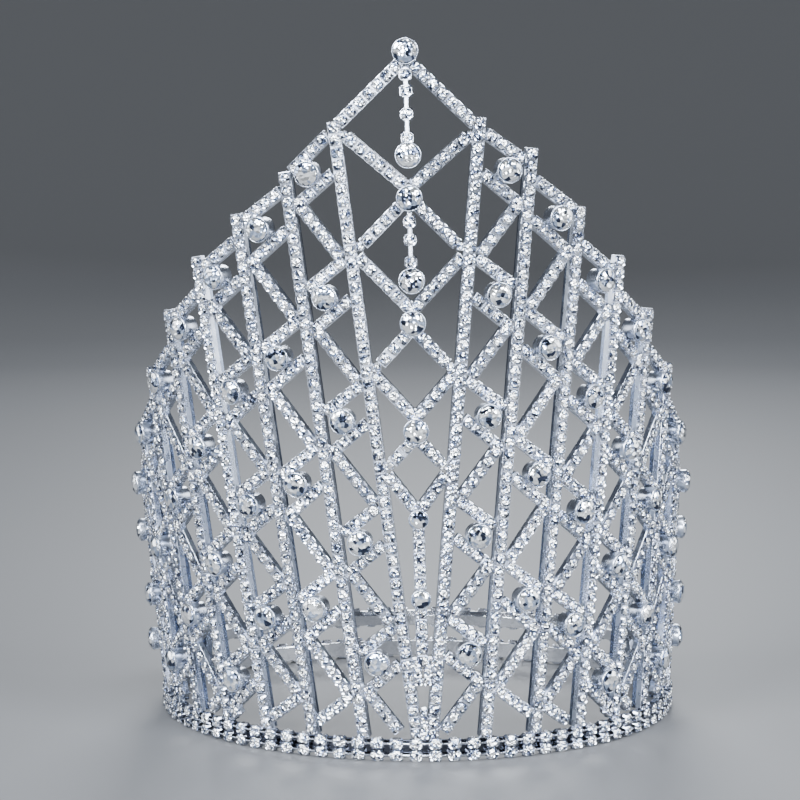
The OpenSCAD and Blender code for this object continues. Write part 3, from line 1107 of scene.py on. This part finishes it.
@dataclass
class Chain:
    """Stone chain: square cups, their stones and the smooth bar that they sit on."""

    maker: Jeweller
    cups: Shape = field(default_factory=Shape)
    stones: Shape = field(default_factory=Shape)
    bars: Shape = field(default_factory=Shape)
    spines: Shape = field(default_factory=Shape)
    pitch: float = 3.2 * MM
    bar_width: float = 3.3 * MM
    bar_depth: float = 1.7 * MM
    spine_width: float = 3 * MM

    def set_cup(self, place: Matrix) -> None:
        """Set one square cup and its stone."""
        self.cups.add(self.maker.cup, place)
        self.stones.add(self.maker.stone, place)

    def lay(self, run: Run, behind: float = 0.0) -> None:
        """Lay chain along a run, its cups at an even pitch.

        Args:
            run: The stretch of chain.
            behind: How far a second bar stands out behind the first.
        """
        count = max(1, round(run.length / self.pitch))
        step = run.length / count
        axes = run.axes
        for i in range(count):
            self.set_cup(axes.at(run.start + axes.up * step * (i + 0.5)))
        self.bars.bar((self.bar_width, run.length, self.bar_depth), axes.at(run.start))
        if behind:
            size = (self.spine_width, run.length - self.pitch / 2, behind + self.bar_depth / 2)
            self.spines.bar(size, axes.at(run.start - axes.out * behind))

    def pieces(self, name: str, *nodes: str) -> None:
        """Turn the chain into its pieces.

        Args:
            name: What the pieces' names start with.
            nodes: The CAD nodes that the cups stand for.
        """
        self.cups.piece(f"{name}_chain", self.maker.silver, Slot.METAL, nodes)
        self.bars.piece(f"{name}_bars", self.maker.satin, Slot.METAL)
        # The spines take the silver that is darkened to paint shade
        if self.spines.bm.faces:
            self.spines.piece(f"{name}_spine", self.maker.spine_painted_shade, Slot.METAL)
        self.stones.piece(f"{name}_crystals", self.maker.foiled, Slot.CRYSTAL)


@dataclass
class Stave:
    """A straight strip of chain on a smooth flat bar."""

    maker: Jeweller
    side: Side
    number: int
    spine_depth: float = 1.3 * MM
    sink: float = 0.3 * MM

    def build(self) -> None:
        """Build the stave."""
        wall = self.maker.wall
        axes = wall.stave_axes(self.side, self.number)
        tip_z = wall.stave_tip(self.side, self.number)
        foot = wall.stave_end(self.side, self.number, 0) - wall.origin
        tip = wall.stave_end(self.side, self.number, tip_z) - wall.origin
        run = Run(foot, tip, axes.out).trimmed((wall.unit_height - self.sink) / axes.up.z)
        chain = Chain(self.maker)
        chain.lay(run, self.spine_depth)
        name = f"stave_{self.side.word}_{self.number}"
        chain.pieces(name, name)


@dataclass
class Zigzag:
    """The chain that climbs between two staves, with its round cups."""

    maker: Jeweller
    side: Side
    number: int
    long_in: float = 0.13
    long_out: float = 0.175
    elbow: float = 0.8 * MM

    def runs(self) -> list[Run]:
        """Work out the zigzag's straight stretches, from the top down.

        Returns:
            The stretches' centre lines.
        """
        wall, side, k = self.maker.wall, self.side, self.number
        row = wall.rows(side)[k - 1]
        drop = row.repeat * wall.apex_height
        starts = wall.starts(side, k)
        top_out = row.top_out * wall.apex_height
        found = [panel_run(wall, side, k, starts[0], top_out, (starts[0] + top_out) / 2)]
        for n in range(len(wall.stone_heights(side, k))):
            back = starts[n] - wall.pair_drop
            following = starts[n] - drop
            low = back - wall.return_out * drop
            long = (following - self.long_in * drop, low + self.long_out * drop)
            strips = [(back, low, 0.0), (*long, self.elbow)]
            if n < len(starts) - 1:
                strips.append((following, following - wall.fall(side, k), 0.0))
            mid = (strips[0][0] + strips[-1][1]) / 2
            for z_in, z_out, more in strips:
                found.append(panel_run(wall, side, k, z_in, z_out, mid, (more, more)))
        return found

    def build(self) -> None:
        """Build the zigzag's metal and its chain's stones."""
        wall = self.maker.wall
        floor = wall.unit_height + wall.gap
        name = f"zigzag_{self.side.word}_{self.number}"
        chain = Chain(self.maker)
        for run in self.runs():
            whole = above(run, floor + wall.chain_width / 2)
            if whole:
                chain.lay(whole)
        for z in wall.stone_heights(self.side, self.number):
            axes = wall.panel_axes(self.side, self.number, z)
            place = wall.stone_place(self.side, self.number, z) - wall.origin
            chain.bars.add(self.maker.round_metal[RoundKind.LARGE], axes.at(place))
        chain.pieces(name, name)


def above(run: Run, floor: float) -> Run | None:
    """Shorten a run so that nothing of it lies under a height.

    Args:
        run: The stretch of chain.
        floor: The lowest height for its centre line.

    Returns:
        What is left, or None.
    """
    low, high = sorted((run.start, run.end), key=lambda spot: spot.z)
    if high.z <= floor:
        return None
    if low.z >= floor:
        return run
    share = (high.z - floor) / (high.z - low.z)
    return Run(high, high + (low - high) * share, run.out)


@dataclass
class Gore:
    """The open front: the peak, three crossings, the stem and two drops."""

    maker: Jeweller
    # Height shares of each crossing's upper limbs at the staves and in the middle, of its
    # stone, and of its lower limbs in the middle and at the staves
    crosses: tuple[tuple[float, float, float, float, float], ...] = (
        (0.899, 0.8145, 0.802, 0.802, 0.721),
        (0.732, 0.647, 0.6305, 0.6205, 0.552),
        (0.569, 0.496, 0.4795, 0.468, 0.415),
    )
    # Height shares of a limb in the middle and at the staves
    peak: tuple[float, float] = (0.9895, 0.896)
    stem: tuple[float, float] = (0.362, 0.430)
    stem_stones: tuple[float, float] = (0.354, 0.2395)
    tie: float = 0.13
    tuck: float = 0.3 * MM
    overrun: float = 0.6 * MM
    filler: float = 0.72
    # Height and place across in millimetres, and size, of each cup at the stem's foot
    foot_cups: tuple[tuple[float, float, float], ...] = (
        (7.4, 0.0, 0.7), (9.6, 0.0, 0.7), (11.8, 0.0, 0.66), (13.8, 0.0, 0.6),
        (22.4, -1.2, 0.7), (22.4, 1.2, 0.7), (25.0, -1.4, 0.75), (25.0, 1.4, 0.75),
        (27.7, -1.9, 0.7), (27.7, 1.9, 0.7),
    )
    # Height shares of each drop's hook, of its square cups and of its round cup
    drops: tuple[tuple[float, tuple[float, ...], float], ...] = (
        (1, (0.968, 0.9455, 0.9145, 0.882), 0.8585),
        (0.802, (0.768, 0.7435, 0.713), 0.6875),
    )
    bite: float = 0.3 * MM
    link_width: float = 1.3 * MM
    link_thick: float = 0.9 * MM
    link_bevel: float = 0.3 * MM

    def rising(self, number: int) -> tuple[float, float]:
        """Find the limb that rises to the first staves at a meeting place.

        Args:
            number: The meeting place, from the top down.

        Returns:
            The limb's height shares in the middle and at the stave.
        """
        if number < len(self.crosses):
            return self.crosses[number][1], self.crosses[number][0]
        return self.stem

    def falling(self, number: int) -> tuple[float, float]:
        """Return the limb that comes down to the same place, in the same way."""
        return self.crosses[number - 1][3:] if number else self.peak

    def limb_cut(self, number: int) -> float:
        """Work out how much further one of two limbs that meet ends from the stave.

        Args:
            number: The meeting place, from the top down.

        Returns:
            The distance that keeps the two limbs clear of each other.
        """
        wall = self.maker.wall
        fall, rise = self.falling(number), self.rising(number)
        z = fall[1] * wall.apex_height
        across = (wall.stave_at(Side.RIGHT, 1, z) - wall.middle_at(z)).length / wall.apex_height
        falls, rises = (fall[0] - fall[1]) / across, (rise[1] - rise[0]) / across
        tall = wall.chain_width / 2 * (math.hypot(1, falls) + math.hypot(1, rises)) + 2 * wall.gap
        return (tall - z + rise[1] * wall.apex_height) / (falls + rises) - wall.side_cut

    def limb(self, side: Side, shares: tuple[float, float], hub: float, radius: float,
             clear: float = 0.0) -> Run:
        """Work out a strip from the middle line to a first stave.

        Args:
            side: The side that it goes to.
            shares: Its heights on the middle line and on the stave.
            hub: Height share of the round cup that it starts from.
            radius: How far from the cup's middle it starts.
            clear: How much further than usual it ends from the stave.

        Returns:
            The strip's run.
        """
        wall = self.maker.wall
        z_in, z_out = (share * wall.apex_height for share in shares)
        run = panel_run(wall, side, 0, z_in, z_out, (z_in + z_out) / 2, (0.0, clear))
        away = run.start - self.middle(hub)
        way = run.axes.up
        reach = away.dot(way)
        inside = reach**2 - away.length_squared + radius**2
        return run.trimmed(max(self.tuck, math.sqrt(max(inside, 0.0)) - reach))

    def build(self) -> None:
        """Build all pieces of the gore."""
        self.build_peak()
        for i, shares in enumerate(self.crosses, 1):
            self.build_crossing(i, shares)
        self.build_stem()
        for i, drop in enumerate(self.drops, 1):
            self.build_drop(i, *drop)
        self.set_drop_stones()

    def middle(self, share: float) -> Vector:
        """Return the point of the middle line at a height share."""
        wall = self.maker.wall
        return wall.middle_at(share * wall.apex_height) - wall.origin

    def cup_place(self, share: float) -> Matrix:
        """Return the place of a round cup on the middle line."""
        return self.maker.wall.middle_axes().at(self.middle(share))

    def with_cup(self, name: str, share: float, runs: list[Run], stone_node: str,
                 joints: list[Matrix] | None = None) -> None:
        """Build strips that meet at one round cup, and the cup's stone.

        Args:
            name: What the pieces' names start with.
            share: The round cup's height.
            runs: The strips.
            stone_node: The CAD node of the cup's stone.
            joints: Places of single small cups beside the staves.
        """
        chain, brilliant = Chain(self.maker), Shape()
        for run in runs:
            chain.lay(run)
        for place in joints or []:
            chain.set_cup(place)
        self.maker.set_round(chain.bars, brilliant, self.cup_place(share))
        chain.pieces(name, name)
        brilliant.piece(f"{name}_brilliant", self.maker.brilliant, Slot.CRYSTAL, (stone_node,))

    def build_peak(self) -> None:
        """Build the two strips that rise to the top stone."""
        radius = self.maker.wall.cup_radius - self.bite
        runs = [self.limb(side, self.peak, 1, radius, -self.overrun) for side in Side]
        self.with_cup("peak", 1, runs, "apex_stone")

    def build_crossing(self, number: int, shares: tuple[float, ...]) -> None:
        """Build one X of chain with its stone.

        Args:
            number: The crossing's number, from the top down.
            shares: Its height shares.
        """
        top, upper, stone, lower, foot = shares
        radius = self.maker.wall.cup_radius - self.bite
        given = self.limb_cut(0) if number == 1 else 0.0
        clear = self.limb_cut(number)
        runs = [self.limb(side, (upper, top), stone, radius, given) for side in Side]
        runs += [self.limb(side, (lower, foot), stone, radius, clear) for side in Side]
        joints = [self.joint(side, foot, clear) for side in Side]
        joints.append(self.cup_place(upper) @ self.shrink())
        if given:
            joints += [self.joint(side, top, given, -1) for side in Side]
        self.with_cup(f"cross_{number}", stone, runs, f"cross_stone_{number}", joints)

    def shrink(self) -> Matrix:
        """Return the change of size of a cup that fills a corner between strips."""
        return Matrix.Diagonal((self.filler, self.filler, 1, 1))

    def joint(self, side: Side, share: float, clear: float, above: int = 1) -> Matrix:
        """Return the place of the small cup that fills the notch beside a first stave.

        Args:
            side: The side that the notch is on.
            share: Height at which the limb's line meets the stave.
            clear: How much further than usual that limb ends from the stave.
            above: 1 for a limb that comes down to the stave, -1 for one that rises to it.

        Returns:
            The cup's place, turned and made smaller.
        """
        wall = self.maker.wall
        z = share * wall.apex_height
        axes = wall.panel_axes(side, 0, z)
        reach = wall.side_cut + clear / 2
        spot = wall.stave_at(side, 1, z + above * reach) - axes.along * side.value * reach
        return axes.at(spot - wall.origin) @ self.shrink()

    def build_stem(self) -> None:
        """Build the stem: two strips, a straight one with two small cups, and the tie."""
        wall = self.maker.wall
        radius = wall.small_cup_radius - self.bite
        chain, brilliants = Chain(self.maker), Shape()
        top, low = self.stem_stones
        for side in Side:
            chain.lay(self.limb(side, self.stem, top, radius))
        axes = wall.middle_axes()
        for foot, head, below in ((low, top, radius), (self.tie, low, wall.chain_width / 2)):
            run = Run(self.middle(foot), self.middle(head), axes.out)
            chain.lay(run.trimmed(below, radius))
        for z, across, small in self.foot_cups:
            spot = wall.middle_at(z * MM) - wall.origin + axes.along * across * MM
            chain.set_cup(axes.at(spot) @ Matrix.Diagonal((small, small, 1, 1)))
        for share in self.stem_stones:
            self.maker.set_round(chain.bars, brilliants, self.cup_place(share), RoundKind.SMALL)
        chain.pieces("stem", "stem")
        brilliants.piece("stem_brilliants", self.maker.brilliant, Slot.CRYSTAL, ("stem_stones",))

    def hung(self, top: float, share: float) -> Vector:
        """Return the point of a drop at one height share, which hangs from another."""
        wall = self.maker.wall
        return self.middle(top) + wall.drop_axes().up * (share - top) * wall.apex_height

    def build_drop(self, number: int, top: float, cups: tuple[float, ...], end: float) -> None:
        """Build one hanging chain of square cups with its round cup.

        Args:
            number: The drop's number, from the top down.
            top: Height share of its hook.
            cups: Height shares of its square cups.
            end: Height share of its round cup.
        """
        wall = self.maker.wall
        axes = wall.drop_axes()
        chain = Chain(self.maker)
        for share in cups:
            chain.set_cup(axes.at(self.hung(top, share)))
        length = (top - end) * wall.apex_height - wall.cup_radius
        length -= wall.flare * wall.cup_depth + wall.gap
        foot = self.hung(top, end)
        size = (self.link_width, length, self.link_thick)
        chain.bars.bar(size, axes.at(foot + axes.out * wall.chain_depth / 4), self.link_bevel)
        chain.bars.add(self.maker.round_metal[RoundKind.DROP], axes.at(foot))
        chain.pieces(f"drop_{number}", f"drop_chain_{number}")

    def set_drop_stones(self) -> None:
        """Set the round stones at the ends of the drops."""
        axes = self.maker.wall.drop_axes()
        stones = Shape()
        for top, _, end in self.drops:
            stones.add(self.maker.round_stone[RoundKind.DROP], axes.at(self.hung(top, end)))
        stones.piece("drop_brilliants", self.maker.brilliant, Slot.CRYSTAL, ("drop_stones",))


@dataclass
class RoundStones:
    """The brilliants of one side's columns."""

    maker: Jeweller
    side: Side

    def build(self) -> None:
        """Set every column's stones."""
        wall = self.maker.wall
        stones = Shape()
        for k in wall.columns(self.side):
            for z in wall.stone_heights(self.side, k):
                place = wall.stone_place(self.side, k, z) - wall.origin
                axes = wall.panel_axes(self.side, k, z)
                stones.add(self.maker.round_stone[RoundKind.LARGE], axes.at(place))
        node = f"stones_{self.side.word}"
        stones.piece(f"brilliants_{self.side.word}", self.maker.brilliant, Slot.CRYSTAL, (node,))


@dataclass(frozen=True)
class CupPairs:
    """Square cups in pairs, one above the other, at an even pitch along the reference line."""

    start: float
    count: int
    z: float
    sunk: float
    rise: float
    width: float
    length: float
    fuller: float = 1.0

    def set_on(self, maker: Jeweller, metal: Shape, stones: Shape) -> None:
        """Set the cups and their stones.

        Args:
            maker: Who sets them.
            metal: The piece that takes the cups.
            stones: The piece that takes the stones.
        """
        wall, square = maker.wall, maker.square
        stretch = Matrix.Diagonal((
            self.width / (square.width * MM),
            self.length / (square.length * MM),
            wall.unit_depth / (square.top * MM),
            1,
        ))
        fuller = Matrix.Diagonal((self.fuller, self.fuller, 1, 1))
        face_out = Matrix.Rotation(math.radians(90), 4, "X").inverted()
        run = 2 * (wall.half_angle - self.start)
        for i in range(self.count):
            angle = self.start + (i + 0.5) * run / self.count
            angle = angle - 2 * wall.half_angle if angle > wall.half_angle else angle
            base = wall.upright(angle, wall.strip_thick - wall.solder, self.z)
            for n in range(2):
                up = Matrix.Translation((0, 0, self.rise * (n + 0.5) - self.sunk))
                place = base @ up @ face_out @ stretch
                metal.add(maker.cup, place)
                stones.add(maker.stone, place @ fuller)


@dataclass
class Band:
    """The base band: a flat strip all the way round, two wires and two rows of cups."""

    maker: Jeweller
    lift: float = 0.8 * MM
    height: float = 4.8 * MM
    wire: float = 0.5 * MM
    skin: float = 0.25 * MM
    softened: float = 0.22
    width_share: float = 0.96
    length_share: float = 0.88
    fuller: float = 1.14

    def ring(self, shape: Shape, out: float, thick: float, z: float, height: float) -> None:
        """Add a closed ring that follows the reference line.

        Args:
            shape: The piece that takes the ring.
            out: The ring's inner face, outward from the line.
            thick: Its thickness.
            z: Its lower edge.
            height: Its height.
        """
        bevel = min(thick, height) * self.softened
        section = [(out, z), (out + thick, z), (out + thick, z + height), (out, z + height)]
        swept(shape, self.maker.wall, section, 0, bevel, closed=True)

    def build(self) -> None:
        """Build the band's metal and its stones."""
        wall, maker = self.maker.wall, self.maker
        metal, stones, strip, skin, wires = (Shape() for _ in range(5))
        row = wall.unit_height / 2
        inner = wall.strip_thick - self.skin
        self.ring(strip, 0, inner, self.lift, self.height)
        self.ring(skin, inner, self.skin, self.lift, self.height)
        wire_in = wall.strip_thick + (wall.unit_depth - self.wire) / 2
        for i in range(2):
            z = row * (i + 0.5) - self.wire / 2
            self.ring(wires, wire_in, self.wire, z, self.wire)
        strip.piece("band_strip", maker.mirror, Slot.METAL)
        skin.piece("band_skin", maker.shadow, Slot.METAL)
        wires.piece("band_wires", maker.silver, Slot.METAL)
        pairs = CupPairs(
            0, wall.unit_count, 0, 0, row, wall.unit_width * self.width_share,
            row * self.length_share, self.fuller,
        )
        pairs.set_on(maker, metal, stones)
        metal.piece("band_cups", maker.silver, Slot.METAL, ("base_band",))
        stones.piece("band_crystals", maker.foiled, Slot.CRYSTAL)


def swept(shape: Shape, wall: Wall, section: list[tuple[float, float]], start: float,
          bevel: float, closed: bool = False) -> None:
    """Sweep a section along the reference line, from the middle of the back to both sides.

    Args:
        shape: The piece that takes the swept strip.
        wall: The crown's wall.
        section: Corners as distance outward and height.
        start: Angle along the line where the strip starts; 0 goes all the way round.
        bevel: Width of the softened long edges.
        closed: True where the strip meets itself at the front.
    """
    bm = bmesh.new()
    spots = [bm.verts.new((0, wall.back_depth + out, z)) for out, z in section]
    face = bm.faces.new(spots)
    bmesh.ops.bevel(
        bm, geom=face.verts[:], offset=bevel, affect="VERTICES", segments=3, profile=0.5,
        material=-1,
    )
    turn_at = wall.turn(start)
    arcs = (
        (0.0, -wall.back_shift, 90 - wall.corner_sweep, 180.0),
        (wall.corner_x, 0.0, wall.corner_sweep, 90 + wall.corner_sweep),
        (0.0, 0.0, 90.0, 90.0),
    )
    last = [*bm.verts, *bm.edges, *bm.faces]
    if closed:
        bmesh.ops.delete(bm, geom=bm.faces[:], context="FACES_ONLY")
        last = [*bm.verts, *bm.edges]
    for x, y, sweep, from_turn in arcs:
        sweep = min(sweep, from_turn - turn_at)
        if sweep <= 0:
            break
        made = bmesh.ops.spin(
            bm, geom=last, cent=(x, y, 0), axis=(0, 0, 1), angle=-math.radians(sweep),
            steps=max(2, round(sweep / wall.sweep_step)),
        )
        last = made["geom_last"]
    if not closed:
        middle = [f for f in bm.faces if all(abs(v.co.x) < ON_AXIS for v in f.verts)]
        bmesh.ops.delete(bm, geom=middle, context="FACES_ONLY")
    whole = [*bm.verts, *bm.edges, *bm.faces]
    bmesh.ops.mirror(bm, geom=whole, matrix=Matrix.Identity(4), merge_dist=MERGE, axis="X")
    bmesh.ops.remove_doubles(bm, verts=bm.verts, dist=MERGE)
    bmesh.ops.recalc_face_normals(bm, faces=bm.faces)
    mesh = saved(bm, "strip")
    shape.add(mesh, Matrix.Translation(-wall.origin))
    bpy.data.meshes.remove(mesh)


@dataclass
class Rail:
    """The back rail: a strip with a lip that leans outward, and cups on its outside."""

    maker: Jeweller
    height: float = 3.3 * MM
    lip_height: float = 1.5 * MM
    lip_out: float = 0.8 * MM
    cup_width: float = 2.8 * MM
    cup_over: float = 0.7 * MM
    bevel: float = 0.15 * MM

    def build(self) -> None:
        """Build the rail's metal, its cups and their stones."""
        wall, maker = self.maker.wall, self.maker
        top = wall.rail_z + self.height + self.lip_height
        last = len(wall.rows(Side.RIGHT))
        start = wall.stave_angle(last, top)
        start += math.degrees((wall.side_cut + wall.gap) / wall.band_radius)
        out = wall.flare * wall.rail_z
        mid = wall.rail_z + self.height
        thick = wall.strip_thick
        section = [
            (out, wall.rail_z), (out + thick, wall.rail_z), (out + thick, mid),
            (out + thick + self.lip_out, top), (out + self.lip_out, top), (out, mid),
        ]
        strip, metal, stones = Shape(), Shape(), Shape()
        swept(strip, wall, section, start, self.bevel)
        sway = (-wall.lean * wall.rail_z, 0, 0)
        bmesh.ops.translate(strip.bm, vec=sway, verts=strip.bm.verts)
        strip.piece("rail_strip", maker.mirror, Slot.METAL, ("back_rail",))
        count = round((wall.half_angle - start) * wall.unit_count / wall.half_angle)
        tall = (self.height + self.lip_height + 2 * self.cup_over) / 2
        pairs = CupPairs(start, count, wall.rail_z, self.cup_over, tall, self.cup_width, tall)
        pairs.set_on(maker, metal, stones)
        metal.piece("rail_cups", maker.silver, Slot.METAL)
        stones.piece("rail_crystals", maker.foiled, Slot.CRYSTAL)


@dataclass(frozen=True)
class Lamp:
    """A square soft light that faces the crown: place and side in metres, power in watts."""

    name: str
    place: tuple[float, float, float]
    size: float
    power: float
    colour: tuple[float, float, float] = (0.92, 0.96, 1.0)
    aim_height: float = 0.09

    def hang(self) -> None:
        """Hang the light."""
        data = bpy.data.lights.new(self.name, "AREA")
        data.shape = "SQUARE"
        data.size = self.size
        data.energy = self.power
        data.color = self.colour
        lamp = bpy.data.objects.new(self.name, data)
        bpy.context.scene.collection.objects.link(lamp)
        lamp.location = self.place
        aim = Vector((0, 0, self.aim_height)) - Vector(self.place)
        lamp.rotation_mode = "QUATERNION"
        lamp.rotation_quaternion = aim.to_track_quat("-Z", "Y")


@dataclass(frozen=True)
class Studio:
    """A plain pale floor, soft lights and the camera at the photograph's angle."""

    floor_radius: float = 2.6
    floor_bend: float = 1.3
    floor_height: float = 1.6
    floor_steps: int = 96
    bend_steps: int = 12
    floor_colour: tuple[float, float, float] = (0.082, 0.084, 0.089)
    floor_rough: float = 0.6
    world_colour: tuple[float, float, float] = (0.75, 0.83, 1.0)
    world_strength: float = 0.1
    lamps: tuple[Lamp, ...] = (
        Lamp("key", (-0.9, -1.0, 0.8), 0.55, 58),
        Lamp("fill", (1.0, -0.9, 0.6), 0.5, 44),
        Lamp("high", (0.1, -0.8, 1.5), 0.6, 42),
        Lamp("front", (-0.2, -1.8, 0.35), 0.4, 30),
        Lamp("left", (-1.3, 0.0, 0.3), 0.9, 12),
        Lamp("right", (1.3, 0.1, 0.35), 0.9, 12),
        Lamp("rear", (0.1, 1.3, 0.8), 0.5, 16),
    )
    camera_place: tuple[float, float, float] = (-0.01798, -0.64418, 0.15510)
    camera_tilt: float = 84.46
    camera_turn: float = -1.246
    lens: float = 99.0
    sensor: float = 36.0
    nearest: float = 0.01

    def build(self) -> None:
        """Build the floor, the light and the camera."""
        self.lay_floor()
        self.light_world()
        for lamp in self.lamps:
            lamp.hang()
        self.set_camera()

    def lay_floor(self) -> None:
        """Lay the floor, whose far edge curves up as a backdrop."""
        flat, bend = self.floor_radius - self.floor_bend, self.floor_bend
        turns = [math.pi / 2 * i / self.bend_steps for i in range(1, self.bend_steps + 1)]
        curve = [(flat + bend * math.sin(turn), bend * (1 - math.cos(turn))) for turn in turns]
        profile = [(0, 0), (flat, 0), *curve, (self.floor_radius, self.floor_height)]
        bm = turned(profile, self.floor_steps)
        bmesh.ops.reverse_faces(bm, faces=bm.faces)
        mesh = saved(bm, "floor")
        floor = bpy.data.objects.new("floor", mesh)
        bpy.context.scene.collection.objects.link(floor)
        made = bpy.data.materials.new("pale_floor")
        made.use_nodes = True
        shader = made.node_tree.nodes["Principled BSDF"]
        shader.inputs["Base Color"].default_value = (*self.floor_colour, 1)
        shader.inputs["Roughness"].default_value = self.floor_rough
        mesh.materials.append(made)

    def light_world(self) -> None:
        """Fill the room with dim, even, slightly cool light."""
        world = bpy.data.worlds.new("studio")
        bpy.context.scene.world = world
        world.use_nodes = True
        back = world.node_tree.nodes["Background"]
        back.inputs["Color"].default_value = (*self.world_colour, 1)
        back.inputs["Strength"].default_value = self.world_strength

    def set_camera(self) -> None:
        """Set the camera where the photograph was taken from."""
        data = bpy.data.cameras.new("camera")
        data.lens = self.lens
        data.sensor_width = self.sensor
        data.clip_start = self.nearest
        camera = bpy.data.objects.new("camera", data)
        bpy.context.scene.collection.objects.link(camera)
        camera.location = self.camera_place
        tilt, turn = math.radians(self.camera_tilt), math.radians(self.camera_turn)
        camera.rotation_euler = (tilt, 0, turn)
        bpy.context.scene.camera = camera


def main() -> None:
    """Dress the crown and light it."""
    logging.basicConfig(level=logging.INFO, format="%(name)s: %(message)s")
    wear = HandlingMarks().group()
    wall = Wall()
    log.info("origin %s", [round(v / MM, 4) for v in wall.origin])
    maker = Jeweller(
        wall,
        silver=SilverFinish("silver_plate", (0.58, 0.61, 0.69)).material(wear),
        satin=SilverFinish(
            "satin_plate", (0.64, 0.69, 0.8), smooth=0.2, dull=0.34
        ).material(wear),
        # Dark blue-grey silver paints shade on the spines
        spine_painted_shade=SilverFinish(
            "spine_painted_shade_plate", (0.24, 0.28, 0.37), smooth=0.12, dull=0.26
        ).material(wear),
        mirror=SilverFinish("mirror_plate", smooth=0.05, dull=0.14, bump=0.02).material(wear),
        # Crystal finishes with painted sparkle in their cell tones
        foiled=FoiledPaintedSparkleFinish("foiled_crystal_painted_sparkle").material(),
        brilliant=FoiledPaintedSparkleFinish("brilliant_crystal", cells=850, tilt=0.22 * MM).material(),
        shadow=SilverFinish("shadowed_plate", (0.05, 0.055, 0.07)).material(wear),
    )
    Band(maker).build()
    Rail(maker).build()
    for side in Side:
        for k in range(1, len(wall.rows(side)) + 1):
            Stave(maker, side, k).build()
        for k in wall.columns(side):
            Zigzag(maker, side, k).build()
        RoundStones(maker, side).build()
    Gore(maker).build()
    Studio().build()
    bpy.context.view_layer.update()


if __name__ == "__main__":
    main()
